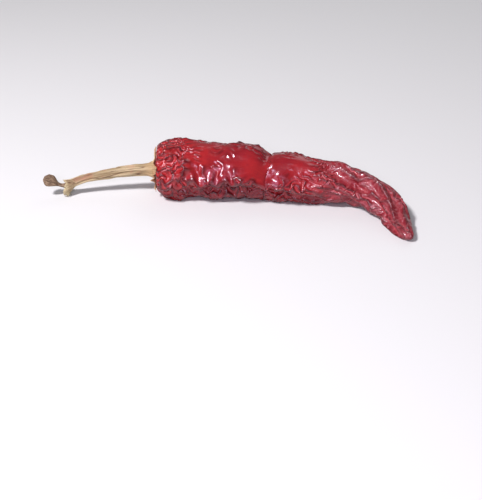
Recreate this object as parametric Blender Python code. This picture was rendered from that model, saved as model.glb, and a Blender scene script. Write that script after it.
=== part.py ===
"""A dried chilli pepper lying on its side, as three solids: the pod, the calyx that caps it, and the stem.

The model stands on Z = 0. The stem points to -X and the pod's tail to +X, curling towards -Y. Angles round
the pod are measured in its own cross-section: 0 degrees is the front (-Y) side, 90 the top, 180 the back and
270 below. Stations along the pod and the stem are shares of their own length. Everything is in metres.
"""

import math

import bmesh
import bpy
import numpy as np
from mathutils import Vector

MM = 0.001

# Pod.
POD_LENGTH = 117 * MM  # along its curved middle line, from the seat of the calyx to the tip
POD_WIDTH = 24.6 * MM  # across the shoulders, level with the floor
POD_HEIGHT = 22.4 * MM  # across the shoulders, upright
SHOULDER_DEPTH = 5.5 * MM  # how far down the pod its shoulders take to round over
SEAT_RADIUS = 6.6 * MM  # the flat end that the calyx sits on
SETTLED = 0.8 * MM  # how much of the underside is pressed flat where the pod rests

# Calyx.
CALYX_RADIUS = 8.6 * MM  # to the tips of its lobes
CALYX_NOTCH_RADIUS = 6.3 * MM  # to the notches between them
CALYX_LOBES = 5
CALYX_FIRST_LOBE = 90  # degrees
CALYX_EDGE = 0.7 * MM  # thickness at the rim
CALYX_BOSS = 1.5 * MM  # thickness under the stem
BOSS_MARGIN = 0.6 * MM  # how far the boss reaches past the foot of the stem

# Stem.
STEM_LENGTH = 45 * MM
STEM_DIAMETER = 3.7 * MM
STEM_FOOT_RADIUS = 3.0 * MM

JOIN_GAP = 0.3 * MM  # between pieces that grow against each other

# How the pod is drawn: (station, share of POD_WIDTH, share of POD_HEIGHT). It drops a step at the waist, a
# third of the way down, and tapers into a thin tail.
POD_GIRTH = (
    (0.00, 0.97, 0.96),
    (0.06, 1.00, 1.00),
    (0.14, 0.98, 1.00),
    (0.24, 0.96, 0.95),
    (0.33, 0.92, 0.92),
    (0.38, 0.88, 0.85),
    (0.46, 0.84, 0.86),
    (0.54, 0.74, 0.76),
    (0.64, 0.60, 0.60),
    (0.74, 0.51, 0.48),
    (0.84, 0.43, 0.38),
    (0.92, 0.30, 0.25),
    (1.00, 0.14, 0.13),
)
# (station, degrees): the way the pod points, in plan. 0 is along +X, and below 0 turns to the front.
POD_HEADING = (
    (0.00, 18),
    (0.25, 13),
    (0.45, 9),
    (0.58, 5),
    (0.68, -6),
    (0.78, -30),
    (0.89, -56),
    (1.00, -50),
)
# (station, metres): how far the underside is off the floor.
POD_LIFT = (
    (0.0, 0.4 * MM),
    (0.12, 0.0),
    (0.20, 0.0),
    (0.30, 0.9 * MM),
    (0.40, 0.1 * MM),
    (0.47, 0.0),
    (0.56, 0.8 * MM),
    (0.66, 2.6 * MM),
    (0.78, 2.0 * MM),
    (0.90, 0.0),
    (1.0, 1.5 * MM),
)
# (station, degrees): how far the flattened section leans over as the tail twists.
POD_ROLL = ((0.0, 0), (0.5, 6), (0.75, -24), (1.0, -50))

# Long folds in the skin: (first station, last station, angle at each, half width in degrees, height).
# A ridge has a height above 0 and a furrow one below it.
LONG_FOLDS = (
    (0.09, 0.54, 0, -8, 10, 1.5 * MM),  # the sharp front ridge
    (0.09, 0.58, -27, -34, 13, -2.3 * MM),  # the furrow tucked under it
    (0.13, 0.40, 44, 38, 24, -1.3 * MM),  # the flat front panel over it
    (0.40, 0.56, 46, 30, 22, -0.9 * MM),  # the panel past the waist
    (0.10, 0.62, 148, 158, 15, -1.5 * MM),  # furrows down the back
    (0.24, 0.86, 204, 196, 13, -1.2 * MM),
    (0.12, 0.70, 176, 178, 11, 0.7 * MM),
    (0.55, 0.97, 72, 34, 20, -1.0 * MM),  # the tail's collapsed upper side
    (0.58, 0.95, 118, 92, 13, 0.7 * MM),
    (0.60, 0.93, -12, -34, 14, -0.7 * MM),
)
# Dents and bulges: (station, angle, half length, half width in degrees, height).
DENTS = (
    (0.365, 85, 2.6 * MM, 55, -2.0 * MM),  # the waist's cross crease
    (0.395, 20, 3.2 * MM, 28, -0.9 * MM),
    (0.205, 20, 4.5 * MM, 15, -0.9 * MM),  # facets above the front ridge
    (0.300, 22, 4.0 * MM, 13, 0.6 * MM),
    (0.445, 24, 4.5 * MM, 16, -0.7 * MM),
    (0.155, 158, 6.0 * MM, 22, -1.0 * MM),  # dents on the top and the back
    (0.330, 172, 6.0 * MM, 26, -1.2 * MM),
    (0.520, 130, 5.0 * MM, 26, -0.8 * MM),
    (0.090, 60, 3.5 * MM, 16, -0.8 * MM),  # dimples in the shoulders
    (0.085, 110, 3.5 * MM, 15, 0.5 * MM),
    (0.095, 20, 3.5 * MM, 14, 0.4 * MM),
    (0.100, -25, 3.5 * MM, 14, -0.7 * MM),
    (0.700, 60, 4.0 * MM, 40, -0.7 * MM),
    (0.815, 80, 3.5 * MM, 40, -0.6 * MM),
)

# Ridges that cross each other all over the skin, with hollows between them, lower where the pod is thinner:
# (how many round the pod, how many along it, phase in degrees, height).
CRUMPLES = (
    (3, 6.3, 40, 0.34 * MM),
    (5, -8.1, 160, 0.30 * MM),
    (4, 11.4, 250, 0.26 * MM),
    (2, -14.2, 90, 0.26 * MM),
    (6, 4.1, 310, 0.22 * MM),
)

# Long panels where the skin stays taut and crumples little: (first station, last station, angle, half width),
# the last two in degrees.
TAUT_PANELS = ((0.09, 0.36, 75, 80), (0.39, 0.58, 70, 60))

# (share of the stem, heading turned and pitch turned since it left the calyx, in degrees).
STEM_BEND = ((0.0, 0, 0), (0.25, 3, -4), (0.55, 7, -8), (0.78, 9, -9), (0.86, 8, 26), (1.0, 0, 30))
# (share of the stem, share of its diameter). It flares at its foot and where it was picked, and past that the
# shrivelled stub of the next node hangs on a thin neck.
STEM_GIRTH = (
    (0.00, 2 * STEM_FOOT_RADIUS / STEM_DIAMETER),
    (0.04, 1.36),
    (0.10, 1.15),
    (0.25, 1.03),
    (0.52, 0.90),
    (0.68, 0.84),
    (0.755, 1.18),
    (0.80, 1.12),
    (0.825, 0.48),
    (0.86, 0.42),
    (0.90, 0.78),
    (0.96, 0.84),
    (1.00, 0.42),
)
STEM_RIBS = 5
STEM_RIB_SHARE = 0.06  # of the radius

SHOULDER_RINGS, BODY_RINGS, TIP_RINGS, POD_SIDES = 7, 43, 4, 44
CALYX_RINGS, CALYX_SIDES = 11, 60
STEM_RINGS, STEM_SIDES = 44, 15

RED_SKIN = (0.36, 0.022, 0.028, 1)
STRAW = (0.50, 0.33, 0.15, 1)
PALE_STRAW = (0.56, 0.40, 0.20, 1)


def through(table, x, column=1):
    """The value at x on a smooth curve through a table's rows."""
    at = np.array([row[0] for row in table])
    value = np.array([row[column] for row in table], float)
    slope = np.gradient(value, at)
    i = np.clip(np.searchsorted(at, x) - 1, 0, len(at) - 2)
    step = at[i + 1] - at[i]
    u = np.clip((x - at[i]) / step, 0, 1)
    start = (1 + 2 * u) * (1 - u) ** 2 * value[i] + u * (1 - u) ** 2 * step * slope[i]
    end = u**2 * (3 - 2 * u) * value[i + 1] - u**2 * (1 - u) * step * slope[i + 1]
    return start + end


def unit(vectors):
    return vectors / np.linalg.norm(vectors, axis=-1, keepdims=True)


class Spine:
    """The pod's middle line, with its cross-section axes at any station."""

    def __init__(self, samples=400):
        self.at = np.linspace(0, 1, samples)
        step = POD_LENGTH / (samples - 1)
        heading = np.radians(through(POD_HEADING, self.at))
        ahead = np.stack([np.cos(heading), np.sin(heading), np.zeros(samples)], axis=-1)
        self.points = np.vstack([np.zeros(3), np.cumsum((ahead[1:] + ahead[:-1]) / 2 * step, axis=0)])
        half_height = POD_HEIGHT / 2 * through(POD_GIRTH, self.at, 2)
        self.points[:, 2] = half_height - SETTLED + through(POD_LIFT, self.at)
        self.ahead = unit(np.gradient(self.points, axis=0))

    def read(self, values, station):
        return np.stack([np.interp(station, self.at, values[:, k]) for k in range(3)], axis=-1)

    def frame(self, station):
        """The centre, the way ahead, the way to the front and the way up, at each station."""
        centre = self.read(self.points, station)
        ahead = unit(self.read(self.ahead, station))
        front = unit(np.stack([ahead[..., 1], -ahead[..., 0], np.zeros_like(ahead[..., 0])], axis=-1))
        return centre, ahead, front, np.cross(front, ahead)


SPINE = Spine()
SHOULDER_END = SHOULDER_DEPTH / POD_LENGTH
SEAT_SHARE = 2 * SEAT_RADIUS / min(POD_WIDTH, POD_HEIGHT)
TIP_START = 0.95
SHOULDER_POWER = 2.2  # above 2, the rounding is squarer than an ellipse's


def away(angle, other):
    """The difference of two angles in degrees, from -180 to 180."""
    return (angle - other + 180) % 360 - 180


def fold_height(station, angle):
    """How far the folds and dents stand out of the plain section."""
    height = np.zeros(np.broadcast(station, angle).shape)
    for first, last, angle_first, angle_last, half_width, rise in LONG_FOLDS:
        along = np.clip((station - first) / (last - first), 0, 1)
        here = angle_first + (angle_last - angle_first) * along
        height += rise * np.sin(np.pi * along) ** 0.5 * np.exp(-((away(angle, here) / half_width) ** 2))
    for centre, here, half_length, half_width, rise in DENTS:
        along = (station - centre) * POD_LENGTH / half_length
        height += rise * np.exp(-(along**2) - (away(angle, here) / half_width) ** 2)
    return height


def slack(station, angle):
    """How freely the skin crumples, from 0 in the middle of a taut panel to 1 far from any."""
    taut = np.zeros(np.broadcast(station, angle).shape)
    for first, last, here, half_width in TAUT_PANELS:
        along = np.clip((station - first) / (last - first), 0, 1)
        panel = np.sin(np.pi * along) ** 0.5 * np.exp(-((away(angle, here) / half_width) ** 2))
        taut = np.maximum(taut, panel)
    return 1 - taut


def crumple_height(station, angle):
    height = np.zeros(np.broadcast(station, angle).shape)
    for around, along, phase, rise in CRUMPLES:
        turn = np.radians(around * angle + 360 * along * station + phase)
        height += rise * (1 - 2 * np.abs(np.sin(turn / 2)))
    return height * slack(station, angle) * through(POD_GIRTH, station, 1)


def pod_surface(station, share, angle):
    """The point at a share of the way out from the middle line, on a section, at an angle in degrees."""
    centre, _, front, up = SPINE.frame(station)
    half_width = POD_WIDTH / 2 * through(POD_GIRTH, station, 1)
    half_height = POD_HEIGHT / 2 * through(POD_GIRTH, station, 2)
    roll = np.radians(through(POD_ROLL, station))
    turned = np.radians(angle)
    across = half_width * np.cos(turned)
    upright = half_height * np.sin(turned)
    clear_of_seat = np.clip((share - SEAT_SHARE) / (1 - SEAT_SHARE), 0, 1) ** 2
    rise = fold_height(station, angle) + crumple_height(station, angle) * clear_of_seat
    outward = share + share * rise / np.hypot(across, upright)
    across, upright = (
        outward * (across * np.cos(roll) - upright * np.sin(roll)),
        outward * (across * np.sin(roll) + upright * np.cos(roll)),
    )
    return centre + across[..., None] * front + upright[..., None] * up


def shoulder_station(share):
    """The station at which the rounding of the shoulders has reached a share of the full section."""
    out = np.clip((share - SEAT_SHARE) / (1 - SEAT_SHARE), 0, 1)
    return SHOULDER_END * (1 - (1 - out**SHOULDER_POWER) ** (1 / SHOULDER_POWER))


def pod_rings():
    """Rings of points from the middle of the seat to the tip."""
    angle = np.arange(POD_SIDES) * 360 / POD_SIDES
    seat = [(0.0, SEAT_SHARE / 2), (0.0, SEAT_SHARE)]
    quarter = np.linspace(0, math.pi / 2, SHOULDER_RINGS + 1)[1:]
    rounded = SEAT_SHARE + (1 - SEAT_SHARE) * np.sin(quarter) ** (2 / SHOULDER_POWER)
    shoulder = [(shoulder_station(share), share) for share in rounded]
    body = [(station, 1.0) for station in np.linspace(SHOULDER_END, TIP_START, BODY_RINGS + 1)[1:]]
    quarter = np.linspace(0, math.pi / 2, TIP_RINGS + 2)[1:-1]
    tip = [(TIP_START + (1 - TIP_START) * math.sin(q), math.cos(q)) for q in quarter]
    rings = []
    for station, share in seat + shoulder + body + tip:
        ring = pod_surface(np.full(POD_SIDES, station), np.full(POD_SIDES, share), angle)
        ring[:, 2] = np.maximum(ring[:, 2], 0)  # pressed flat where it rests
        rings.append(ring)
    return rings


def seat_surface(radius, angle):
    """The point of the pod's seat and shoulders at a radius from the middle of the seat."""
    half = np.hypot(
        POD_WIDTH / 2 * through(POD_GIRTH, 0.0, 1) * np.cos(np.radians(angle)),
        POD_HEIGHT / 2 * through(POD_GIRTH, 0.0, 2) * np.sin(np.radians(angle)),
    )
    share = radius / half
    return pod_surface(shoulder_station(share), share, angle)


def seat_normal(radius, angle):
    small_step, small_turn = 0.05 * MM, 1.0
    outward = seat_surface(radius + small_step, angle) - seat_surface(radius, angle)
    around = seat_surface(radius + small_step, angle + small_turn) - seat_surface(radius + small_step, angle)
    return unit(np.cross(outward, around))


def calyx_edge(angle):
    """The radius of the rim: pointed lobes with round notches between them."""
    wave = np.abs(np.sin(np.radians((angle - CALYX_FIRST_LOBE) * CALYX_LOBES / 2)))
    return CALYX_RADIUS - (CALYX_RADIUS - CALYX_NOTCH_RADIUS) * np.sin(wave * np.pi / 2) ** 0.8


def calyx_rings():
    """Rings that run out under the calyx, round its rim, and back over its top to the boss.

    They lie closer together towards the rim, where the shoulders under it fall away fastest.
    """
    angle = np.arange(CALYX_SIDES) * 360 / CALYX_SIDES
    boss = STEM_FOOT_RADIUS + BOSS_MARGIN
    under, over = [], []
    for share in np.sin(np.linspace(0, math.pi / 2, CALYX_RINGS + 1))[1:]:
        radius = share * calyx_edge(angle)
        fall = np.clip((radius - boss) / (calyx_edge(angle) - boss), 0, 1)
        thickness = CALYX_BOSS + (CALYX_EDGE - CALYX_BOSS) * np.sin(fall * np.pi / 2) ** 0.7
        base, normal = seat_surface(radius, angle), seat_normal(radius, angle)
        under.append(base + JOIN_GAP * normal)
        over.append(base + (JOIN_GAP + thickness[:, None]) * normal)
    return under + over[::-1]


def stem_rings():
    """Rings from the foot of the stem to the end of the stub past its cut."""
    centre, ahead, front, up = SPINE.frame(np.array(0.0))
    start = centre - (JOIN_GAP + CALYX_BOSS + JOIN_GAP) * ahead
    share = np.linspace(0, 1, STEM_RINGS)
    turn = np.radians(through(STEM_BEND, share, 1))[:, None]
    pitch = np.radians(through(STEM_BEND, share, 2))[:, None]
    back = unit(-ahead * np.cos(turn) + front * np.sin(turn))
    way = back * np.cos(pitch) + up * np.sin(pitch)
    step = STEM_LENGTH / (STEM_RINGS - 1)
    path = start + np.vstack([np.zeros(3), np.cumsum((way[1:] + way[:-1]) / 2 * step, axis=0)])
    side = unit(np.cross(way, up))
    over = np.cross(side, way)
    angle = np.arange(STEM_SIDES) * 2 * math.pi / STEM_SIDES
    ribs = 1 + STEM_RIB_SHARE * np.cos(STEM_RIBS * angle)
    rings = []
    for k, s in enumerate(share):
        radius = STEM_DIAMETER / 2 * through(STEM_GIRTH, s) * ribs[:, None]
        rings.append(path[k] + radius * (np.cos(angle)[:, None] * side[k] + np.sin(angle)[:, None] * over[k]))
    return rings


def loft(name, rings, material, parent):
    """One closed solid through rings of the same number of points, with a fan at each end."""
    bm = bmesh.new()
    loops = [[bm.verts.new(Vector(point)) for point in ring] for ring in rings]
    for near, far in zip(loops, loops[1:]):
        for k in range(len(near)):
            after = (k + 1) % len(near)
            bm.faces.new((near[k], near[after], far[after], far[k]))
    for loop in (loops[0], loops[-1]):
        middle = bm.verts.new(sum((v.co for v in loop), Vector()) / len(loop))
        for k in range(len(loop)):
            bm.faces.new((loop[k], loop[(k + 1) % len(loop)], middle))
    bmesh.ops.recalc_face_normals(bm, faces=bm.faces)
    mesh = bpy.data.meshes.new(name)
    bm.to_mesh(mesh)
    bm.free()
    mesh.shade_smooth()
    mesh.materials.append(material)
    obj = bpy.data.objects.new(name, mesh)
    bpy.context.scene.collection.objects.link(obj)
    obj.parent = parent
    return obj


def finish(name, colour, roughness):
    material = bpy.data.materials.new(name)
    material.use_nodes = True
    shader = material.node_tree.nodes["Principled BSDF"]
    shader.inputs["Base Color"].default_value = colour
    shader.inputs["Roughness"].default_value = roughness
    shader.inputs["Metallic"].default_value = 0.0
    return material


def main():
    for obj in list(bpy.data.objects):
        bpy.data.objects.remove(obj)
    chilli = bpy.data.objects.new("chilli", None)
    bpy.context.scene.collection.objects.link(chilli)
    pieces = (
        loft("pod", pod_rings(), finish("skin", RED_SKIN, 0.35), chilli),
        loft("calyx", calyx_rings(), finish("calyx", PALE_STRAW, 0.8), chilli),
        loft("stem", stem_rings(), finish("stem", STRAW, 0.75), chilli),
    )
    corners = np.array([v.co for piece in pieces for v in piece.data.vertices])
    low, high = corners.min(axis=0), corners.max(axis=0)
    chilli.location = (-(low[0] + high[0]) / 2, -(low[1] + high[1]) / 2, -low[2])


main()
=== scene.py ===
"""The looks of a dried chilli pepper: crumpled red skin, a papery calyx and a fibrous stem.

The pod's fine surface starts from the CAD solid. Its skin is then made larger than the flesh it is stuck to
and left to buckle, which is how a drying pod wrinkles. Lengths are in millimetres until a mesh is made.
"""

import math

import bpy
import numpy as np
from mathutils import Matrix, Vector, kdtree
from mathutils.bvhtree import BVHTree


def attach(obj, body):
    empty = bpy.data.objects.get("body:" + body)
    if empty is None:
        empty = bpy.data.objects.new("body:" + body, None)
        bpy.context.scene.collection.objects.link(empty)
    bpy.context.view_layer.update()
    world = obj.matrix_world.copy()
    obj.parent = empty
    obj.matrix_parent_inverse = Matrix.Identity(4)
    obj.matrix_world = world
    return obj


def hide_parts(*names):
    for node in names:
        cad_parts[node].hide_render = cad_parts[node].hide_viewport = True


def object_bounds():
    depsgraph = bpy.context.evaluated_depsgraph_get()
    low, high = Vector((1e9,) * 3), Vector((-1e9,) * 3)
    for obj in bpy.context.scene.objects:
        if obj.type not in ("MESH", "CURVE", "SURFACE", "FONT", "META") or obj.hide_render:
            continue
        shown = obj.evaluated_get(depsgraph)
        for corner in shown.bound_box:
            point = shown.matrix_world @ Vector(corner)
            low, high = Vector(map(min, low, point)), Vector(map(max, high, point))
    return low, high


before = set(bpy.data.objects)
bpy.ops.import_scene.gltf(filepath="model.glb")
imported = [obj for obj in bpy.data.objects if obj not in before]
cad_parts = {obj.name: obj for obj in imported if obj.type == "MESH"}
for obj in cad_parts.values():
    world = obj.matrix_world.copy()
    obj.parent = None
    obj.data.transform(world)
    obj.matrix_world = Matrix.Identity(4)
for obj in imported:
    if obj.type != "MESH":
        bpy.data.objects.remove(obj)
cad_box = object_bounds()

MM = 0.001
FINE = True

# The pod's middle line, as in the CAD: where it starts in plan, its length, and (share, heading in
# degrees).
POD_START = (-31.70, -2.36)
POD_LENGTH = 117.0
POD_HEADING = (
    (0.0, 18),
    (0.25, 13),
    (0.45, 9),
    (0.58, 5),
    (0.68, -6),
    (0.78, -30),
    (0.89, -56),
    (1.0, -50),
)

# The middle of the pod's seat and the way the pod points there, as in the CAD.
SEAT = np.array((-31.70, -2.36, 10.35))
SEAT_AHEAD = np.array((0.9506, 0.3083, 0.0360))
# The stem's middle line, as in the CAD: how far before the seat it starts, its length, and (share, heading
# turned and pitch turned, in degrees).
STEM_START, STEM_LENGTH = 2.1, 45.0
STEM_BEND = ((0.0, 0, 0), (0.25, 3, -4), (0.55, 7, -8), (0.78, 9, -9), (0.86, 8, 26), (1.0, 0, 30))
STEM_SHAFT = 36.6  # from its foot to where it was picked
# The calyx: how far its lobes and its notches reach, how many lobes it has, and where round the seat, in
# degrees, the first lobe and the longest one are.
CALYX_REACH, CALYX_NOTCH, CALYX_LOBES = 9.7, 6.7, 5
CALYX_FIRST_LOBE, CALYX_LONG_LOBE = 90.0, 12.0

# The camera: where it looks from, in degrees and metres; the point it is turned to; and how far above the
# middle of the picture that point is.
AZIMUTH, ELEVATION, DISTANCE = 18.0, 28.0, 0.389
TARGET = (0.0031, 0.0, 0.0075)
RAISED = 0.026
LENS = 70
FLOOR_REACH = 3

SEAM = 262.0  # the angle round the pod, 0 at its front and 90 on top, at which its texture map is cut
TEXTURE_MAP = "OFBake"
FOLD_SPACING = 0.85
SKIN_SPACING = 0.285 if FINE else 0.5
FOLDING_STEPS = 500
BUCKLING_STEPS = 700 if FINE else 350
CROWN_ROOM = 0.4  # from this far below the pod's highest point up, its folds are flattened


# ---------------------------------------------------------------- small tools


def curve(table, x, column=1):
    """A smooth curve through a table's rows."""
    at = np.array([row[0] for row in table], float)
    value = np.array([row[column] for row in table], float)
    slope = np.gradient(value, at)
    i = np.clip(np.searchsorted(at, x) - 1, 0, len(at) - 2)
    step = at[i + 1] - at[i]
    u = np.clip((x - at[i]) / step, 0, 1)
    start = (1 + 2 * u) * (1 - u) ** 2 * value[i] + u * (1 - u) ** 2 * step * slope[i]
    return start + u**2 * (3 - 2 * u) * value[i + 1] - u**2 * (1 - u) * step * slope[i + 1]


def unit(v):
    return v / np.maximum(np.linalg.norm(v, axis=-1, keepdims=True), 1e-12)


def ramp(x, low, high):
    """0 below low, 1 above high, smooth between; falls instead if low is above high."""
    t = np.clip((x - low) / (high - low), 0, 1)
    return t * t * (3 - 2 * t)


def waves(points, wavelength, seed, count=40, spread=0.45):
    """Smooth noise about 0 with a standard deviation of 1: plane waves in random directions."""
    rng = np.random.default_rng(seed)
    directions = unit(rng.normal(size=(count, 3)))
    lengths = wavelength * np.exp(spread * rng.normal(size=count))
    phases = rng.uniform(0, 2 * np.pi, count)
    total = np.zeros(len(points))
    for direction, length, phase in zip(directions, lengths, phases):
        total += np.cos(points @ direction * (2 * np.pi / length) + phase)
    return total / math.sqrt(count / 2)


def away(angle, other):
    """The turn from one angle to another, between -180 and 180 degrees."""
    return (angle - other + 180) % 360 - 180


def blurred(grid, rows, columns):
    """A grid blurred by these standard deviations: its columns close on themselves, its rows don't."""
    for axis, sigma in ((0, rows), (1, columns)):
        if sigma <= 0:
            continue
        reach = int(3 * sigma) + 1
        weights = np.exp(-0.5 * (np.arange(-reach, reach + 1) / sigma) ** 2)
        weights /= weights.sum()
        pad = [(0, 0)] * grid.ndim
        pad[axis] = (reach, reach)
        padded = np.pad(grid, pad, mode="edge" if axis == 0 else "wrap")
        size = grid.shape[axis]
        grid = sum(w * np.take(padded, np.arange(k, k + size), axis=axis) for k, w in enumerate(weights))
    return grid


# ---------------------------------------------------------------- pod: the form under the wrinkles


def tree_of(mesh):
    """A BVH tree of a mesh, in millimetres."""
    points = np.zeros(len(mesh.vertices) * 3)
    mesh.vertices.foreach_get("co", points)
    faces = [tuple(polygon.vertices) for polygon in mesh.polygons]
    return BVHTree.FromPolygons([Vector(p) for p in points.reshape(-1, 3) / MM], faces)


pod_tree = tree_of(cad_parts["pod"].data)


def pod_spine(samples=600):
    """The pod's middle line: distances along it, its points, and the way it runs at each."""
    share = np.linspace(0, 1, samples)
    heading = np.radians(curve(POD_HEADING, share))
    ahead = np.stack([np.cos(heading), np.sin(heading), np.zeros(samples)], axis=-1)
    step = POD_LENGTH / (samples - 1)
    points = np.vstack([np.zeros(3), np.cumsum((ahead[1:] + ahead[:-1]) / 2 * step, axis=0)])
    points[:, :2] += POD_START
    for k, (x, y, _) in enumerate(points):
        top = pod_tree.ray_cast(Vector((x, y, 100)), Vector((0, 0, -1)))[0]
        low = pod_tree.ray_cast(Vector((x, y, -100)), Vector((0, 0, 1)))[0]
        points[k, 2] = (top.z + low.z) / 2 if top else np.nan
    seen = ~np.isnan(points[:, 2])
    points[:, 2] = np.interp(share, share[seen], points[seen, 2])
    kernel = np.hanning(41)
    padded = np.pad(points[:, 2], 20, mode="edge")
    points[:, 2] = np.convolve(padded, kernel / kernel.sum(), mode="valid")
    return share * POD_LENGTH, points, unit(np.gradient(points, axis=0))


def pod_form(around=180, cap=44, body=420, tip=26):
    """A grid of points on the CAD pod, found by rays from inside that turn over from one end to the other."""
    at, points, heads = pod_spine()
    first, last = 9.0, POD_LENGTH - 3.0
    stations = np.concatenate([np.full(cap, first), np.linspace(first, last, body), np.full(tip, last)])
    tilts = np.concatenate(
        [np.linspace(-90, 0, cap, endpoint=False), np.zeros(body), np.linspace(0, 90, tip + 1)[1:]]
    )
    angle = np.radians(SEAM + np.arange(around) * 360 / around)
    grid = np.zeros((len(stations), around, 3))
    for k, (station, tilt) in enumerate(zip(stations, np.radians(tilts))):
        centre = np.array([np.interp(station, at, points[:, c]) for c in range(3)])
        ahead = unit(np.array([np.interp(station, at, heads[:, c]) for c in range(3)]))
        front = unit(np.array([ahead[1], -ahead[0], 0.0]))
        up = np.cross(front, ahead)
        out = np.cos(angle)[:, None] * front + np.sin(angle)[:, None] * up
        rays = out * math.cos(tilt) + ahead * math.sin(tilt)
        for j, ray in enumerate(rays):
            hit = pod_tree.ray_cast(Vector(centre), Vector(ray))[0]
            grid[k, j] = hit if hit else grid[k - 1, j]
    return grid


def rings_of(grid, spacing):
    """Rings of evenly spaced points over a grid, so that a net of them has triangles of one size."""
    along = np.linalg.norm(np.diff(grid, axis=0), axis=-1).mean(axis=1)
    length = np.concatenate([[0], np.cumsum(along)])
    count = int(length[-1] / (spacing * 0.866))
    places = np.linspace(0, length[-1], count + 1)[1:-1]
    rows = np.interp(places, length, np.arange(len(length)))
    rings = []
    for k, row in enumerate(rows):
        i = min(int(row), len(grid) - 2)
        line = grid[i] * (1 - row + i) + grid[i + 1] * (row - i)
        closed = np.vstack([line, line[:1]])
        girth = np.concatenate([[0], np.cumsum(np.linalg.norm(np.diff(closed, axis=0), axis=1))])
        n = max(6, int(girth[-1] / spacing))
        offset = (0.5 * k + 0.03 * math.sin(k)) % 1
        share = (np.arange(n) + offset) / n
        column = np.interp(share * girth[-1], girth, np.arange(len(girth)))
        corners = np.arange(len(closed))
        points = np.stack([np.interp(column, corners, closed[:, c]) for c in range(3)], axis=-1)
        rings.append((points, share, SEAM + column * 360 / len(line), places[k] / length[-1], offset))
    return rings


def net_of(rings, ends):
    """Triangles between rings, and fans to a point at each end. Gives points, faces and each point's share
    of the way round, angle and share of the way along."""
    starts = np.concatenate([[0], np.cumsum([len(r[0]) for r in rings])])
    faces = []
    for k in range(len(rings) - 1):
        n, m = len(rings[k][0]), len(rings[k + 1][0])
        off_a, off_b = rings[k][4], rings[k + 1][4]
        a, b = np.arange(n), np.arange(m)
        near_b = np.rint((a + 0.5 + off_a) / n * m - off_b).astype(int) % m
        near_a = np.rint((b + 0.5 + off_b) / m * n - off_a).astype(int) % n
        sa, sb = starts[k], starts[k + 1]
        faces.append(np.stack([sa + a, sa + (a + 1) % n, sb + near_b], axis=1))
        faces.append(np.stack([sb + (b + 1) % m, sb + b, sa + near_a], axis=1))
    total = starts[-1]
    a = np.arange(len(rings[0][0]))
    faces.append(np.stack([(a + 1) % len(a), a, np.full(len(a), total)], axis=1))
    b = np.arange(len(rings[-1][0]))
    sb = starts[-2]
    faces.append(np.stack([sb + b, sb + (b + 1) % len(b), np.full(len(b), total + 1)], axis=1))
    points = np.vstack([r[0] for r in rings] + [ends])
    share = np.concatenate([r[1] for r in rings] + [[0, 0]])
    angle = np.concatenate([r[2] for r in rings] + [[0, 0]])
    along = np.concatenate([np.full(len(r[0]), r[3]) for r in rings] + [[0, 1]])
    return points, np.vstack(faces), share, angle, along


# ---------------------------------------------------------------- pod: buckling


# How hard the base holds the skin, as multiples of its springs: against moving out, in and to the side.
OUTWARD_HOLD, INWARD_HOLD, SIDEWAYS_HOLD = np.float32(1.85), np.float32(0.65), np.float32(0.35)


class Net:
    """A triangle net's edges, with fast sums over each vertex's edges."""

    def __init__(self, count, faces):
        self.faces = faces
        edges = np.sort(np.vstack([faces[:, [0, 1]], faces[:, [1, 2]], faces[:, [2, 0]]]), axis=1)
        self.a, self.b = np.unique(edges, axis=0).T
        size = len(self.a)
        both = np.concatenate([self.a, self.b])
        order = np.argsort(both, kind="stable")
        degree = np.bincount(both, minlength=count)
        slot = np.arange(2 * size) - (np.cumsum(degree) - degree)[both[order]]
        # Each row is one vertex's neighbours, or its edges, filled up with the number of a row of zeros.
        beside = np.full((degree.max(), count), count)
        beside[slot, both[order]] = np.concatenate([self.b, self.a])[order]
        edge = np.full((degree.max(), count), 2 * size)
        edge[slot, both[order]] = order
        self.beside, self.edge = list(beside), list(edge)
        self.degree = degree[:, None].astype(np.float32)

    def mean(self, values):
        """Each vertex's mean of a value over its neighbours."""
        values = np.vstack([values, np.zeros_like(values[:1])])
        return sum(values.take(k, axis=0) for k in self.beside) / self.degree

    def gather(self, pulls):
        """Each vertex's sum of its edges' pulls, given as they act on the edges' first ends."""
        pulls = np.vstack([pulls, -pulls, np.zeros_like(pulls[:1])])
        return sum(pulls.take(k, axis=0) for k in self.edge)

    def normals(self, points):
        p = points[self.faces]
        n = np.cross(p[:, 1] - p[:, 0], p[:, 2] - p[:, 0])
        total = np.zeros_like(points)
        for c in range(3):
            for k in range(3):
                total[:, c] += np.bincount(self.faces[:, k], n[:, c], minlength=len(points))
        return unit(total)


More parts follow.
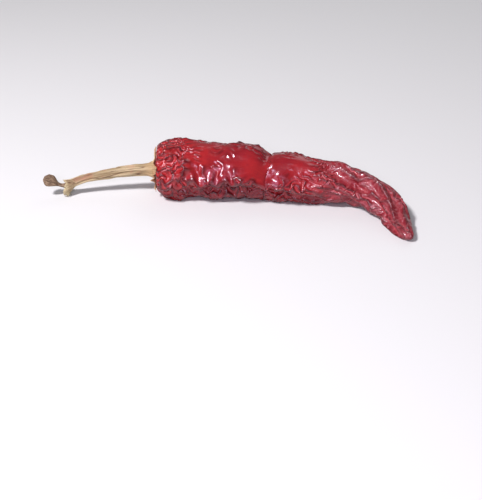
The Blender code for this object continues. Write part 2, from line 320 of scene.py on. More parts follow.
def buckle(net, base, growth, bend, hold, start, steps, floor=0.0):
    """Lets a skin whose edges have grown past its base buckle, held to the base by springs."""
    normal = net.normals(base).astype(np.float32)
    base = base.astype(np.float32)
    x = base + start[:, None].astype(np.float32) * normal
    speed = np.zeros_like(x)
    old = np.linalg.norm(base[net.b] - base[net.a], axis=1)
    size = np.float32(np.median(old))
    old = np.maximum(old, 0.3 * size)
    new = (old * (1 + growth)).astype(np.float32)
    bend = bend[:, None].astype(np.float32)
    hold = hold[:, None].astype(np.float32)
    for step in range(steps):
        grown = np.float32(min(1.0, 2 * (step + 1) / steps))
        rest = new * grown + old * (1 - grown)
        e = x.take(net.b, axis=0) - x.take(net.a, axis=0)
        length = np.sqrt(np.einsum("ij,ij->i", e, e))
        force = net.gather(((1 - rest / np.maximum(length, 1e-4)) / size)[:, None] * e)
        shift = x - base
        lap = net.mean(shift) - shift
        force -= bend * (net.mean(lap) - lap)
        out = np.einsum("ij,ij->i", shift, normal)[:, None]
        stiff = np.where(out > 0, OUTWARD_HOLD, INWARD_HOLD)
        force -= hold * (stiff * out * normal + SIDEWAYS_HOLD * shift)
        speed = np.float32(0.9) * (speed + np.float32(0.3) * force)
        x = x + np.float32(0.3) * speed
        x[:, 2] = np.maximum(x[:, 2], floor)
    return x.astype(float), normal.astype(float)


# ---------------------------------------------------------------- meshes


def mesh_object(name, points, faces, material):
    mesh = bpy.data.meshes.new(name)
    mesh.vertices.add(len(points))
    mesh.vertices.foreach_set("co", (points * MM).astype(np.float32).ravel())
    size = faces.shape[1]
    mesh.loops.add(faces.size)
    mesh.loops.foreach_set("vertex_index", faces.astype(np.int32).ravel())
    mesh.polygons.add(len(faces))
    mesh.polygons.foreach_set("loop_start", np.arange(0, faces.size, size, dtype=np.int32))
    mesh.update(calc_edges=True)
    mesh.validate()
    mesh.shade_smooth()
    obj = bpy.data.objects.new(name, mesh)
    bpy.context.scene.collection.objects.link(obj)
    mesh.materials.append(material)
    return obj


def put(mesh, name, values):
    """Keeps a value at each point of a mesh, for its material."""
    mesh.attributes.new(name, "FLOAT", "POINT").data.foreach_set("value", values.astype(np.float32))


# ---------------------------------------------------------------- pod: its skin


def spread(points, values, onto, near=6):
    """Values at some points carried over to others, by distance to the nearest few of them."""
    tree = kdtree.KDTree(len(points))
    for k, p in enumerate(points):
        tree.insert(p, k)
    tree.balance()
    found = [tree.find_n(p, near) for p in onto]
    index = np.array([[f[1] for f in row] for row in found])
    weight = 1 / (np.array([[f[2] for f in row] for row in found]) + 0.15) ** 2
    weight /= weight.sum(axis=1, keepdims=True)
    return np.einsum("ij,ijk->ik", weight, values[index])


def hold_and_bend(net, base, wavelength, strength=0.05):
    """The springs and the stiffness under which a skin buckles at a wavelength."""
    spacing = np.median(np.linalg.norm(base[net.b] - base[net.a], axis=1))
    q = (2 * np.pi * spacing / wavelength) ** 2 / 4
    hold = np.full(len(base), strength)
    return hold, np.clip(hold / q**2, 0.02, 6.0)


def grown(net, base, amount, ahead, along_share):
    """How much each edge grows: the mean of its ends' amounts, less by along_share if it runs ahead."""
    edge = unit(base[net.b] - base[net.a])
    lined_up = np.einsum("ij,ij->i", edge, unit(ahead[net.a] + ahead[net.b])) ** 2
    less = 1 - (along_share[net.a] + along_share[net.b]) / 2 * lined_up
    return (amount[net.a] + amount[net.b]) / 2 * less


def crinkled_at(along, angle):
    """1 where the taut panels crinkle just above the front ridge, 0 elsewhere."""
    first = ramp(along, 0.16, 0.20) * ramp(along, 0.37, 0.33)
    second = ramp(along, 0.40, 0.43) * ramp(along, 0.54, 0.49)
    return (first + second) * ramp(np.abs(away(angle, 12)), 26, 12)


def taut_at(along, angle):
    """1 on the two smooth panels on the pod's upper front, 0 elsewhere."""
    first = ramp(along, 0.14, 0.19) * ramp(along, 0.44, 0.40) * ramp(np.abs(away(angle, 62)), 68, 42)
    second = ramp(along, 0.41, 0.44) * ramp(along, 0.60, 0.54) * ramp(np.abs(away(angle, 62)), 58, 36)
    return np.maximum(first, second)


def build_pod(material):
    """The pod's skin, buckled twice: in large folds on a coarse net, then in wrinkles on a fine one."""
    grid = blurred(pod_form(), 3.0, 2.0)
    ends = np.array([grid[0].mean(axis=0), grid[-1].mean(axis=0)])

    # the large folds
    coarse, faces, _, angle, along = net_of(rings_of(grid, FOLD_SPACING), ends)
    net = Net(len(coarse), faces)
    crinkled = crinkled_at(along, angle)
    shoulder = ramp(along, 0.20, 0.13)
    narrower = 0.45 * ramp(along, 0.5, 0.9) + 0.38 * crinkled + 0.34 * shoulder
    wavelength = 8.0 * np.clip(1 - narrower, 0.4, 1)
    hold, bend = hold_and_bend(net, coarse, wavelength, 0.03)
    tail = ramp(along, 0.5, 0.62)
    amount = 0.10 + 0.16 * crinkled + 0.13 * tail + 0.14 * shoulder
    amount = amount * (1 - 0.65 * taut_at(along, angle - 8))
    amount = amount * ramp(along, 0.06, 0.12) * ramp(along, 1.0, 0.93)
    at, _, heads = pod_spine()
    ahead = np.stack([np.interp(along * POD_LENGTH, at, heads[:, c]) for c in range(3)], axis=-1)
    growth = grown(net, coarse, amount, ahead, 0.8 * ramp(along, 0.45, 0.6))
    start = 0.1 * waves(coarse, 8.0, 11) * ramp(along, 0.05, 0.1)
    folded, _ = buckle(net, coarse, growth, bend, hold, start, FOLDING_STEPS)

    # the wrinkles
    base, faces, share, angle, along = net_of(rings_of(grid, SKIN_SPACING), ends)
    net = Net(len(base), faces)
    shift = spread(coarse, folded - coarse, base).astype(np.float32)
    for _ in range(10):
        shift = net.mean(shift)
    base = base + shift
    base[:, 2] = np.maximum(base[:, 2], 0)
    panel = taut_at(along, angle)
    wrinkled = np.clip(1 - 0.82 * panel + 0.16 * waves(base, 7.0, 3), 0.08, 1.4)
    free = ramp(along, 0.055, 0.075)
    tail = ramp(along, 0.5, 0.62)
    amount = (0.33 - 0.08 * tail) * wrinkled * free
    ahead = np.stack([np.interp(along * POD_LENGTH, at, heads[:, c]) for c in range(3)], axis=-1)
    growth = grown(net, base, amount, ahead, 0.15 + 0.60 * tail)
    wavelength = np.clip((2.15 + 0.8 * panel) * (1 + 0.20 * waves(base, 9.0, 8)), 1.5, 4.5)
    hold, bend = hold_and_bend(net, base, wavelength)
    start = (0.12 * waves(base, 2.6, 5) + 0.09 * waves(base, 1.5, 6)) * free
    x, normal = buckle(net, base, growth, bend, hold, start, BUCKLING_STEPS)
    relief = ((x - base) * normal).sum(axis=1)
    x = 0.8 * x + 0.2 * net.mean(x)
    crown = cad_box[1][2] / MM - CROWN_ROOM
    x[:, 2] -= 0.55 * np.maximum(0, x[:, 2] - crown)
    obj = mesh_object("skin", x, faces, material)
    outward = net.normals(x)
    ridge = ((x - net.mean(x)) * outward).sum(axis=1)[:, None]
    ridge = (ridge + 2 * net.mean(ridge))[:, 0]
    put(obj.data, "relief", relief / relief.std())
    put(obj.data, "ridge", ridge / ridge.std())
    put(obj.data, "along", along)
    put(obj.data, "smooth_panel", panel)
    put(obj.data, "crinkled", crinkled_at(along, angle - 6))
    texture_map(obj.data, share, along, faces)
    return obj


def texture_map(mesh, share, along, faces):
    """A map of the skin: round the pod across it, along the pod up it, cut open at the seam."""
    u, v = share[faces], along[faces]
    tip = faces >= len(share) - 2
    crossing = (u.max(axis=1) - u.min(axis=1) > 0.5)[:, None] & ~tip
    u = np.where(crossing & (u < 0.5), u + 1, u)
    others = np.where(tip, np.nan, u)
    u = np.where(tip, np.nanmean(others, axis=1)[:, None], u)
    layer = mesh.uv_layers.new(name=TEXTURE_MAP)
    corners = np.stack([0.002 + u * 0.97, 0.002 + v * 0.996], axis=-1)
    layer.uv.foreach_set("vector", corners.astype(np.float32).ravel())


# ---------------------------------------------------------------- closed tubes


def tube(rings):
    """Faces of a closed tube through rings of points, fanned at each end, and their corners' texture map."""
    count, around = rings.shape[:2]
    row, column = (k.ravel() for k in np.meshgrid(np.arange(count), np.arange(around), indexing="ij"))
    after = (column + 1) % around
    here, beside = row * around + column, row * around + after
    left, right, v = column / around, (column + 1) / around, 0.03 + 0.94 * row / (count - 1)
    low, end = row < count - 1, around * count
    first, last = row == 0, row == count - 1
    faces = [
        (here[low], beside[low], beside[low] + around),
        (here[low], beside[low] + around, here[low] + around),
        (beside[first], here[first], np.full(around, end)),
        (here[last], beside[last], np.full(around, end + 1)),
    ]
    middle, step = (left + right) / 2, 0.94 / (count - 1)
    maps = [
        ((left[low], v[low]), (right[low], v[low]), (right[low], v[low] + step)),
        ((left[low], v[low]), (right[low], v[low] + step), (left[low], v[low] + step)),
        ((right[first], v[first]), (left[first], v[first]), (middle[first], np.zeros(around))),
        ((left[last], v[last]), (right[last], v[last]), (middle[last], np.ones(around))),
    ]
    corners = [np.stack([np.stack(corner, axis=-1) for corner in part], axis=1) for part in maps]
    return np.vstack([np.stack(f, axis=1) for f in faces]), np.vstack(corners)


def sleeves(name, sets, material, attributes=()):
    """Closed tubes as one piece. Each attribute has a grid of values for each tube."""
    points, faces, corners, base = [], [], [], 0
    for k, rings in enumerate(sets):
        own_faces, own_corners = tube(rings)
        faces.append(own_faces + base)
        own_corners[..., 0] = (k + 0.03 + 0.94 * own_corners[..., 0]) / len(sets)
        corners.append(own_corners)
        points += [rings.reshape(-1, 3), rings[:1].mean(axis=1), rings[-1:].mean(axis=1)]
        base += rings.shape[0] * rings.shape[1] + 2
    obj = mesh_object(name, np.vstack(points), np.vstack(faces), material)
    layer = obj.data.uv_layers.new(name=TEXTURE_MAP)
    layer.uv.foreach_set("vector", np.vstack(corners).astype(np.float32).ravel())
    for key, grids in dict(attributes).items():
        values = [np.concatenate([g.ravel(), [g[0].mean(), g[-1].mean()]]) for g in grids]
        put(obj.data, key, np.concatenate(values))
    return obj


# ---------------------------------------------------------------- materials


class Graph:
    """A material's node tree, written from its sockets back."""

    def __init__(self, name):
        self.material = bpy.data.materials.new(name)
        self.material.use_nodes = True
        self.tree = self.material.node_tree
        self.shader = self.tree.nodes["Principled BSDF"]

    def add(self, kind, inputs=(), output=0, **settings):
        node = self.tree.nodes.new("ShaderNode" + kind)
        for key, value in settings.items():
            setattr(node, key, value)
        for key, value in dict(inputs).items():
            self.feed(node.inputs[key], value)
        return node.outputs[output]

    def feed(self, socket, value):
        if isinstance(value, bpy.types.NodeSocket):
            self.tree.links.new(value, socket)
        else:
            socket.default_value = value

    def set(self, **inputs):
        for key, value in inputs.items():
            self.feed(self.shader.inputs[key.replace("_", " ")], value)

    def attribute(self, name):
        return self.add("Attribute", output="Fac", attribute_name=name)

    def noise(self, place, scale, detail=2.0, rough=0.5, distortion=0.0):
        inputs = {"Vector": place, "Scale": scale, "Detail": detail, "Roughness": rough}
        return self.add("TexNoise", {**inputs, "Distortion": distortion})

    def scaled(self, place, factors):
        return self.add("Mapping", {"Vector": place, "Scale": factors})

    def span(self, value, low, high, to_low=0.0, to_high=1.0):
        inputs = {"Value": value, "From Min": low, "From Max": high, "To Min": to_low, "To Max": to_high}
        return self.add("MapRange", inputs, clamp=True)

    def math(self, operation, *values):
        node = self.tree.nodes.new("ShaderNodeMath")
        node.operation = operation
        for socket, value in zip(node.inputs, values):
            self.feed(socket, value)
        return node.outputs[0]

    def mix(self, factor, a, b, blend="MIX"):
        node = self.tree.nodes.new("ShaderNodeMix")
        node.data_type, node.blend_type = "RGBA", blend
        for key, value in (("Factor_Float", factor), ("A_Color", a), ("B_Color", b)):
            socket = next(k for k in node.inputs if k.identifier == key)
            self.feed(socket, value)
        return next(k for k in node.outputs if k.identifier == "Result_Color")

    def bump(self, height, distance, strength=1.0, under=None):
        inputs = {"Height": height, "Distance": distance, "Strength": strength}
        if under is not None:
            inputs["Normal"] = under
        return self.add("Bump", inputs)


def skin_material():
    """Red skin with painted shade in its valleys, painted highlights on its crests and on the smooth spots
    between crinkles, half glossy.
    """
    g = Graph("skin")
    place = g.add("TexCoord", output="Object")
    map_place = g.add("UVMap", uv_map=TEXTURE_MAP)
    relief, ridge = g.attribute("relief"), g.attribute("ridge")
    along, panel = g.attribute("along"), g.attribute("smooth_panel")
    blotch = g.noise(place, 70, 3)
    mottle = g.noise(place, 420, 3, 0.6)
    grain = g.noise(place, 2600, 3, 0.6)
    streak = g.noise(g.scaled(map_place, (150, 14, 1)), 1.0, 3, 0.6, 0.6)

    body = g.mix(g.span(blotch, 0.38, 0.62), (0.22, 0.0075, 0.014, 1), (0.32, 0.012, 0.016, 1))
    shoulder = g.span(along, 0.22, 0.08)
    body = g.mix(g.math("MULTIPLY", shoulder, 0.75), body, (0.40, 0.012, 0.013, 1))
    tail = g.span(along, 0.50, 0.70)
    body = g.mix(g.math("MULTIPLY", tail, 0.75), body, (0.22, 0.017, 0.028, 1))
    orange = g.math("MULTIPLY", g.span(streak, 0.50, 0.74), g.span(panel, 0.2, 0.9, 0.12, 0.34))
    body = g.mix(orange, body, (0.38, 0.036, 0.020, 1))
    body = g.mix(g.span(mottle, 0.54, 0.72, 0, 0.4), body, (0.16, 0.006, 0.012, 1))
    # painted shade: the valleys and hollows between the wrinkles are darkened where shade falls in them
    low = g.span(relief, -0.1, -2.0, 0, 0.85)
    body = g.mix(low, body, (0.075, 0.001, 0.003, 1))
    painted_hollow_shade = g.span(ridge, -1.0, -3.0, 0, 0.6)
    body = g.mix(painted_hollow_shade, body, (0.05, 0.001, 0.003, 1))
    # a net of thin pale lines, strongest on the tail
    drift = g.add("TexNoise", {"Vector": place, "Scale": 260.0, "Detail": 2.0}, output=1)
    wander = g.mix(0.0022, place, drift)
    cells = g.add("TexVoronoi", {"Vector": wander, "Scale": 330.0}, feature="DISTANCE_TO_EDGE")
    net = g.math("MULTIPLY", g.span(cells, 0.10, 0.0), g.span(panel, 0.0, 0.8, 1.0, 0.06))
    body = g.mix(g.math("MULTIPLY", net, g.span(tail, 0, 1, 0.05, 0.28)), body, (0.56, 0.14, 0.15, 1))
    # painted highlight: pale lilac sheen on the smooth spots between crinkles, standing in for the gloss
    # there
    painted_sheen_patches = g.span(g.noise(place, 260, 5, 0.62, 0.8), 0.47, 0.66, 0, 0.42)
    painted_sheen_patches = g.math("MULTIPLY", painted_sheen_patches, g.span(mottle, 0.62, 0.44, 0.35, 1.0))
    body = g.mix(g.math("MULTIPLY", painted_sheen_patches, g.attribute("crinkled")), body, (0.50, 0.17, 0.26, 1))
    # painted highlight: paler on the crests of the wrinkles, more so on the tail
    painted_crest_highlight = g.math("MULTIPLY", g.span(ridge, 0.8, 2.4), g.span(tail, 0, 1, 0.45, 0.75))
    body = g.mix(painted_crest_highlight, body, (0.66, 0.10, 0.11, 1))
    rough = g.span(mottle, 0.3, 0.7, 0.17, 0.31)
    rough = g.math("ADD", rough, g.span(tail, 0, 1, 0.0, 0.10))
    rough = g.math("SUBTRACT", rough, g.math("MULTIPLY", panel, 0.05))
    fine = g.bump(grain, 0.00006, 0.5)
    crumbled = g.math("MULTIPLY", g.noise(place, 620, 4, 0.6, 0.6), g.span(panel, 0, 1, 1.0, 0.10))
    fine = g.bump(crumbled, 0.0004, 0.8, fine)
    lines = g.bump(net, 0.00010, 0.5, g.bump(streak, 0.00007, 0.5, fine))
    g.set(Base_Color=body, Roughness=rough, Normal=lines, Specular_Tint=(0.93, 0.86, 1.0, 1))
    g.set(Coat_Weight=0.22, Coat_Roughness=0.06, Subsurface_Weight=0.03, Subsurface_Scale=0.001)
    g.set(Subsurface_Radius=(1.0, 0.12, 0.08))
    return g.material


# ---------------------------------------------------------------- stem


class Stalk:
    """The stem's middle line, read at any distance from its foot; beyond its ends it runs straight on."""

    def __init__(self, samples=400):
        self.at = np.linspace(0, STEM_LENGTH, samples)
        front = unit(np.array((SEAT_AHEAD[1], -SEAT_AHEAD[0], 0)))
        self.up = np.cross(front, SEAT_AHEAD)
        turn, pitch = (np.radians(curve(STEM_BEND, self.at / STEM_LENGTH, k))[:, None] for k in (1, 2))
        level = unit(-SEAT_AHEAD * np.cos(turn) + front * np.sin(turn))
        self.way = level * np.cos(pitch) + self.up * np.sin(pitch)
        steps = (self.way[1:] + self.way[:-1]) / 2 * STEM_LENGTH / (samples - 1)
        self.line = SEAT - STEM_START * SEAT_AHEAD + np.vstack([np.zeros(3), np.cumsum(steps, axis=0)])

    def frame(self, at):
        """The centre, the way on, the way to the side and the way up, at distances from the foot."""
        at = np.asarray(at, float)
        centre, ahead = (
            np.stack([np.interp(at, self.at, table[:, c]) for c in range(3)], axis=-1)
            for table in (self.line, self.way)
        )
        ahead = unit(ahead)
        beyond = at - np.clip(at, 0, STEM_LENGTH)
        side = unit(np.cross(ahead, self.up))
        return centre + beyond[..., None] * ahead, ahead, side, np.cross(side, ahead)

    def rings(self, at, radius, turns):
        """Points round the middle line: radius has a row for each distance in at, turns are in radians."""
        centre, _, side, up = self.frame(at)
        out = np.cos(turns)[None, :, None] * side[:, None] + np.sin(turns)[None, :, None] * up[:, None]
        return centre[:, None] + radius[..., None] * out


# (share of the shaft, radius in mm)
SHAFT_GIRTH = (
    (0.00, 3.2),
    (0.03, 2.75),
    (0.08, 2.35),
    (0.18, 2.05),
    (0.35, 1.84),
    (0.60, 1.66),
    (0.80, 1.50),
    (0.90, 1.62),
    (0.96, 1.95),
    (1.00, 2.05),
)


# (share of the stub past the neck, radius in mm)
STUB_GIRTH = (
    (0.00, 1.5),
    (0.12, 1.05),
    (0.25, 0.72),
    (0.38, 0.80),
    (0.52, 1.40),
    (0.72, 1.75),
    (0.88, 1.5),
    (1.00, 0.6),
)

STRAND_LOWEST = 0.6  # torn fibres lie no lower than this
STRANDS, BROAD_STRANDS = 64, 30


def fibrous(at, turns, radius, seed):
    """Height of long ribs and furrows on a stem, in mm, and how deep in a furrow each point is."""
    a, t = np.meshgrid(at, turns, indexing="ij")
    flat = np.stack([radius * np.cos(t), radius * np.sin(t), a / 11.0], axis=-1).reshape(-1, 3)
    ribs = waves(flat, 2.6, seed).reshape(a.shape)
    fine = waves(flat, 0.9, seed + 1).reshape(a.shape)
    cracks = waves(flat, 1.7, seed + 2).reshape(a.shape)
    knobs = waves(flat * (1, 1, 4), 2.6, seed + 3).reshape(a.shape)
    furrow = np.exp(-((cracks / 0.22) ** 2))
    return 0.16 * ribs + 0.045 * fine - 0.22 * furrow + 0.05 * knobs, furrow, ribs


def strand(rng, root, way, down, length, width):
    """A flat torn fibre that tapers and droops."""
    share = np.linspace(0, 1, 9)[:, None]
    droop = down * rng.uniform(0.1, 0.8) + 0.35 * rng.normal(size=3)
    line = root + way * length * share + droop * share**2 * length * 0.4
    line[:, 2] = np.maximum(line[:, 2], STRAND_LOWEST)
    across = unit(np.cross(way, rng.normal(size=3)))
    thick = np.cross(across, way)
    turns = np.linspace(0, 2 * np.pi, 6, endpoint=False)[None, :, None]
    section = width * (np.cos(turns) * across + 0.4 * np.sin(turns) * thick)
    return line[:, None] + section * (1 - 0.85 * share**1.5)[:, None]


def build_stem(material, stub_material, fibre_material):
    """The stem's ribbed shaft, the shrivelled stub past where it was picked, and the fibres torn there."""
    stalk = Stalk()
    turns = np.linspace(0, 2 * np.pi, 84 if FINE else 48, endpoint=False)
    at = np.linspace(-2.6, STEM_SHAFT, 380 if FINE else 160)
    height, furrow, ribs = fibrous(at, turns, 1.9, 21)
    plain = curve(SHAFT_GIRTH, np.clip(at / STEM_SHAFT, 0, 1))
    # the end spreads into a torn foot that hangs down
    flare = ramp(at, STEM_SHAFT - 4.5, STEM_SHAFT)[:, None]
    under = np.maximum(0, -np.sin(turns + 0.35))[None] ** 1.5
    tatters = waves(np.stack([2 * np.cos(turns), 2 * np.sin(turns), 0 * turns], axis=-1), 1.4, 31)[None]
    radius = plain[:, None] + height + flare * (0.25 + under * (0.9 + 0.35 * tatters))
    squashed = 1 + 0.10 * np.cos(2 * (turns[None] - 0.6 - at[:, None] / 26))
    rings = stalk.rings(at, radius * squashed, turns)
    centre, ahead, side, up = (k[0] for k in stalk.frame(np.array([STEM_SHAFT])))
    rings = rings + (flare**2 * (0.38 * tatters - 0.5 * under))[..., None] * ahead
    middle = centre - 0.4 * ahead
    hollow = ((0.84, 0.3), (0.6, 0.7), (0.3, 0.6))  # (share of the foot's radius, depth)
    inner = [middle + (rings[-1] - middle) * k - ahead * dip for k, dip in hollow]
    extra = np.ones((3, len(turns)))
    torn = np.repeat(ramp(at, STEM_SHAFT - 2.2, STEM_SHAFT - 0.2)[:, None], len(turns), axis=1)
    marks = {
        "furrow": [np.vstack([furrow, 0.3 * extra])],
        "rib": [np.vstack([ribs, 0 * extra])],
        "torn": [np.vstack([torn, extra])],
        "foot": [np.vstack([np.repeat(ramp(at, 5.0, 0.0)[:, None], len(turns), axis=1), 0 * extra])],
    }
    rings = np.concatenate([rings, np.array(inner)])
    parts = [sleeves("stem_shaft", [rings], material, marks)]
    # the shrivelled stub of the next node, on its neck
    at = np.linspace(STEM_SHAFT - 1.2, STEM_LENGTH + 0.4, 130 if FINE else 60)
    share = (at - at[0]) / (at[-1] - at[0])
    height, furrow, ribs = fibrous(at * 1.6, turns, 1.4, 41)
    twist = 1.2 * np.sin(share * 5)[:, None]
    folds = 0.24 * np.cos(5 * turns[None] + twist) * ramp(share, 0.35, 0.6)[:, None]
    flat = 1 + 0.22 * np.cos(2 * (turns[None] - 1.2)) * ramp(share, 0.4, 0.7)[:, None]
    radius = curve(STUB_GIRTH, share)[:, None] * (1 + folds) * flat
    radius = radius + 0.9 * height * ramp(share, 1.0, 0.8)[:, None]
    rings = stalk.rings(at, np.maximum(radius, 0.25), turns)
    parts.append(sleeves("stem_stub", [rings], stub_material, {"furrow": [furrow], "rib": [ribs]}))
    # strips and fibres torn out of the foot
    rng = np.random.default_rng(7)
    strands = []
    for k in range(STRANDS):
        broad = k < BROAD_STRANDS
        turn = 1.5 * np.pi - 0.35 + rng.normal() * (0.75 if broad else 1.3)
        out = np.cos(turn) * side + np.sin(turn) * up
        low = max(0.0, -float(out @ up))
        root = centre + out * (1.5 + 0.9 * low * rng.uniform(0.4, 1.1)) - ahead * rng.uniform(0.1, 1.6)
        rearward = rng.uniform(0.2, 1.5) if broad else rng.uniform(-0.8, 1.3)
        way = unit(out * (0.5 + 0.6 * low) - ahead * rearward * low - up * 0.5 + 0.22 * rng.normal(size=3))
        length = rng.uniform(1.3, 2.9) * (0.35 + 0.65 * low) if broad else rng.uniform(0.6, 2.0)
        width = rng.uniform(0.22, 0.5) if broad else rng.uniform(0.08, 0.18)
        strands.append(strand(rng, root, way, -up, length, width))
    parts.append(sleeves("stem_fibres", strands, fibre_material))
    return parts


# ---------------------------------------------------------------- calyx


def build_calyx(pod_mesh, material):
    """A thin papery star on the pod's shoulders, its rim wavy, thick and ribbed where the stem starts."""
    tree = tree_of(pod_mesh)
    front = unit(np.array((SEAT_AHEAD[1], -SEAT_AHEAD[0], 0)))
    up = np.cross(front, SEAT_AHEAD)
    turns = np.linspace(0, 2 * np.pi, 300 if FINE else 150, endpoint=False)
    share = np.linspace(0.08, 1, 52 if FINE else 26)
    rim_line = np.stack([6 * np.cos(turns), 6 * np.sin(turns), 0 * turns], axis=-1)
    wander = 0.13 * waves(rim_line, 7.0, 51)
    lobe = np.abs(np.sin((turns + wander - math.radians(CALYX_FIRST_LOBE)) * CALYX_LOBES / 2))
    long_lobe = np.exp(-((away(np.degrees(turns), CALYX_LONG_LOBE) / 30) ** 2))
    own_reach = CALYX_REACH * (1 + 0.04 * waves(rim_line, 9.0, 52)) + 1.9 * long_lobe
    ragged = 0.14 * waves(rim_line, 1.3, 53)
    edge = own_reach - (own_reach - CALYX_NOTCH) * np.sin(lobe * np.pi / 2) ** 0.8 + ragged
    radius = share[:, None] * edge
    out = np.cos(turns)[:, None] * front + np.sin(turns)[:, None] * up
    depth = np.zeros(radius.shape)
    for i, j in np.ndindex(*radius.shape):
        start = SEAT + radius[i, j] * out[j] - 15 * SEAT_AHEAD
        hit = tree.ray_cast(Vector(start), Vector(SEAT_AHEAD))[3]
        depth[i, j] = hit - 15 if hit else np.nan
    for i in range(1, len(depth)):
        depth[i] = np.where(np.isnan(depth[i]), depth[i - 1] + 0.25, depth[i])
    depth = np.minimum(blurred(depth, 2.0, 4.0), depth)
    depth = np.minimum(blurred(depth, 1.0, 1.5), depth + 0.05)
    ripple = 0.34 * waves(rim_line, 3.4, 54) + 0.22 * waves(rim_line, 1.7, 55)
    curl = share[:, None] ** 3 * (0.46 + 1.2 * ripple) * (0.35 + 0.65 * lobe)
    lift = 0.12 + np.maximum(curl, -0.02)
    # the boss flows up into the stem, and a rib runs from it to each lobe
    boss = 1.5 * ramp(radius, 5.4, 2.4) ** 1.3
    rib = 0.26 * np.exp(-((lobe / 0.20) ** 2)) * ramp(share, 1.0, 0.55)[:, None]
    flat = np.stack([radius * np.cos(turns), radius * np.sin(turns)], axis=-1)
    spokes = waves(np.stack([9 * np.cos(turns), 9 * np.sin(turns), 0 * turns], axis=-1), 1.5, 56)[None]
    spokes = spokes * np.minimum(1, radius / 3)
    level = np.concatenate([flat, 0 * radius[..., None]], axis=-1).reshape(-1, 3)
    crumple = waves(level, 2.2, 57).reshape(radius.shape)
    thick = 0.34 - 0.16 * share[:, None] ** 4
    over = lift + thick + boss + rib + 0.07 * spokes + 0.09 * crumple * share[:, None]
    under = SEAT + radius[..., None] * out + (depth - lift)[..., None] * SEAT_AHEAD
    top = SEAT + radius[..., None] * out + (depth - over)[..., None] * SEAT_AHEAD
    rounded = (under[-1] + top[-1]) / 2 + 0.10 * out
    rings = np.concatenate([under, rounded[None], top[::-1]])
    near_rim = ramp(share, 0.5, 1.0)[:, None] * np.ones_like(radius)
    marks = {
        "near_rim": [np.concatenate([near_rim, near_rim[-1:], near_rim[::-1]])],
        "spokes": [np.concatenate([spokes, spokes[-1:], spokes[::-1]])],
        "rib": [np.concatenate([rib, rib[-1:], rib[::-1]])],
    }
    return sleeves("calyx", [rings], material, marks)


def calyx_material():
    g = Graph("calyx")
    place = g.add("TexCoord", output="Object")
    map_place = g.add("UVMap", uv_map=TEXTURE_MAP)
    near_rim, spokes, rib = g.attribute("near_rim"), g.attribute("spokes"), g.attribute("rib")
    streak = g.noise(g.scaled(map_place, (60, 3, 1)), 1.0, 4, 0.6, 0.5)
    patch = g.noise(place, 260, 3, 0.55)
    fine = g.noise(place, 1600, 3, 0.6)
    body = g.mix(g.span(patch, 0.38, 0.62), (0.36, 0.215, 0.11, 1), (0.48, 0.33, 0.185, 1))
    body = g.mix(g.math("MULTIPLY", near_rim, 0.55), body, (0.50, 0.30, 0.17, 1))
    body = g.mix(g.span(streak, 0.54, 0.72, 0, 0.6), body, (0.33, 0.18, 0.08, 1))
    body = g.mix(g.span(spokes, -0.6, -1.8, 0, 0.6), body, (0.26, 0.13, 0.06, 1))
    body = g.mix(g.span(rib, 0.05, 0.25, 0, 0.4), body, (0.72, 0.55, 0.33, 1))
    body = g.mix(g.span(fine, 0.60, 0.72, 0, 0.5), body, (0.20, 0.10, 0.05, 1))
    bumps = g.bump(fine, 0.00008, 0.5, g.bump(streak, 0.00018, 0.6))
    g.set(Base_Color=body, Roughness=g.span(patch, 0.3, 0.7, 0.58, 0.8), Normal=bumps)
    return g.material


def stem_material():
    g = Graph("stem")
    place = g.add("TexCoord", output="Object")
    map_place = g.add("UVMap", uv_map=TEXTURE_MAP)
    furrow, rib = g.attribute("furrow"), g.attribute("rib")
    torn, foot = g.attribute("torn"), g.attribute("foot")
    streak = g.noise(g.scaled(map_place, (34, 6, 1)), 1.0, 4, 0.6, 0.4)
    fine = g.noise(g.scaled(map_place, (120, 22, 1)), 1.0, 3, 0.6, 0.3)
    patch = g.noise(place, 110, 3, 0.55)
    other = g.noise(place, 190, 2, 0.5)
    specks = g.add("TexVoronoi", {"Vector": place, "Scale": 900.0}, output=0)
    body = g.mix(g.span(streak, 0.36, 0.62), (0.19, 0.120, 0.055, 1), (0.36, 0.265, 0.145, 1))
    body = g.mix(g.span(patch, 0.52, 0.66, 0, 0.7), body, (0.30, 0.20, 0.08, 1))
    body = g.mix(g.span(other, 0.54, 0.66, 0, 0.6), body, (0.36, 0.13, 0.085, 1))
    body = g.mix(g.span(fine, 0.56, 0.72, 0, 0.5), body, (0.26, 0.15, 0.06, 1))
    body = g.mix(g.span(rib, 0.3, 1.5, 0, 0.7), body, (0.52, 0.41, 0.25, 1))
    body = g.mix(g.span(furrow, 0.3, 0.9, 0, 0.85), body, (0.12, 0.056, 0.022, 1))
    body = g.mix(g.span(specks, 0.16, 0.08, 0, 0.6), body, (0.14, 0.08, 0.04, 1))
    body = g.mix(g.math("MULTIPLY", foot, 0.5), body, (0.46, 0.30, 0.155, 1))
    body = g.mix(g.math("MULTIPLY", torn, 0.6), body, (0.60, 0.50, 0.30, 1))
    lines = g.bump(streak, 0.00015, 0.6)
    lines = g.bump(fine, 0.00007, 0.6, lines)
    g.set(Base_Color=body, Roughness=g.span(fine, 0.3, 0.7, 0.52, 0.8), Normal=lines)
    return g.material


def stub_material():
    g = Graph("stub")
    place = g.add("TexCoord", output="Object")
    map_place = g.add("UVMap", uv_map=TEXTURE_MAP)
    furrow = g.attribute("furrow")
    streak = g.noise(g.scaled(map_place, (30, 8, 1)), 1.0, 4, 0.6, 0.5)
    patch = g.noise(place, 500, 3)
    body = g.mix(g.span(streak, 0.4, 0.66), (0.11, 0.062, 0.034, 1), (0.27, 0.18, 0.11, 1))
    body = g.mix(g.span(patch, 0.55, 0.7, 0, 0.6), body, (0.36, 0.26, 0.17, 1))
    body = g.mix(g.span(furrow, 0.3, 1.0, 0, 0.8), body, (0.05, 0.028, 0.018, 1))
    lines = g.bump(streak, 0.00015, 0.7)
    g.set(Base_Color=body, Roughness=g.span(patch, 0.3, 0.7, 0.6, 0.85), Normal=lines)
    return g.material


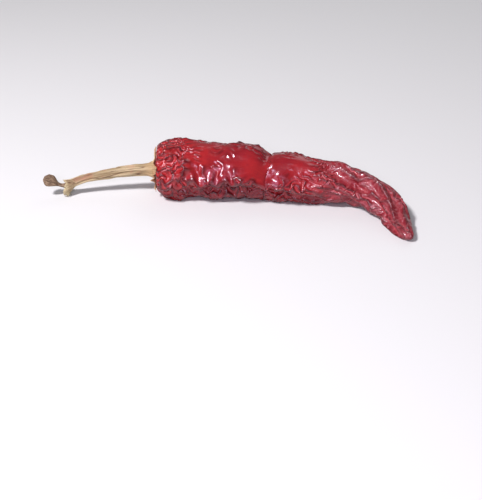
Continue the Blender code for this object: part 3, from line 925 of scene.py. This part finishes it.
def fibre_material():
    g = Graph("fibre")
    place = g.add("TexCoord", output="Object")
    patch = g.noise(place, 1500, 2)
    body = g.mix(g.span(patch, 0.35, 0.65), (0.42, 0.33, 0.17, 1), (0.72, 0.62, 0.40, 1))
    g.set(Base_Color=body, Roughness=0.85, Normal=g.bump(patch, 0.00005, 0.5))
    return g.material


def floor_material():
    g = Graph("floor")
    g.set(Base_Color=(0.70, 0.70, 0.70, 1), Roughness=0.7)
    return g.material


def dress(piece, node):
    """Gives a piece to the body and hides the CAD node it replaces."""
    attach(piece, "root")
    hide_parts(node)


pod = build_pod(skin_material())
dress(pod, "pod")
dress(build_calyx(pod.data, calyx_material()), "calyx")
for part in build_stem(stem_material(), stub_material(), fibre_material()):
    dress(part, "stem")

# ---------------------------------------------------------------- stage

floor_mesh = bpy.data.meshes.new("floor")
corners = [(-1, -1), (1, -1), (1, 1), (-1, 1)]
floor_mesh.from_pydata([(FLOOR_REACH * x, FLOOR_REACH * y, 0) for x, y in corners], [], [(0, 1, 2, 3)])
floor = bpy.data.objects.new("floor", floor_mesh)
bpy.context.scene.collection.objects.link(floor)
floor_mesh.materials.append(floor_material())


def area_light(name, place, size, power, colour):
    data = bpy.data.lights.new(name, "AREA")
    data.size, data.energy, data.color = size, power, colour
    light = bpy.data.objects.new(name, data)
    light.location = place
    light.rotation_mode = "QUATERNION"
    light.rotation_quaternion = (-Vector(place)).to_track_quat("-Z", "Y")
    bpy.context.scene.collection.objects.link(light)


area_light("key", (-0.20, -0.38, 0.58), 0.10, 6.2, (1, 0.97, 1))
area_light("window", (0.12, -0.60, 0.36), 0.16, 1.5, (0.88, 0.80, 1))
area_light("rim", (0.1, 0.6, 0.5), 0.5, 0.9, (0.96, 0.97, 1))
world = bpy.data.worlds.new("studio")
world.use_nodes = True
world.node_tree.nodes["Background"].inputs["Color"].default_value = (1, 1, 1, 1)
world.node_tree.nodes["Background"].inputs["Strength"].default_value = 0.17
bpy.context.scene.world = world

camera_data = bpy.data.cameras.new("camera")
camera = bpy.data.objects.new("camera", camera_data)
bpy.context.scene.collection.objects.link(camera)
camera_data.lens = LENS
camera_data.clip_start = 0.01
azimuth, elevation = math.radians(AZIMUTH), math.radians(ELEVATION)
aside, ahead = math.sin(azimuth), math.cos(azimuth)
back = Vector((aside * math.cos(elevation), -ahead * math.cos(elevation), math.sin(elevation)))
above = Vector((-aside * math.sin(elevation), ahead * math.sin(elevation), math.cos(elevation)))
camera.location = Vector(TARGET) + back * DISTANCE
camera.rotation_mode = "QUATERNION"
camera.rotation_quaternion = (Vector(TARGET) - above * RAISED - camera.location).to_track_quat("-Z", "Y")
bpy.context.scene.camera = camera
bpy.context.scene.view_settings.view_transform = "Standard"
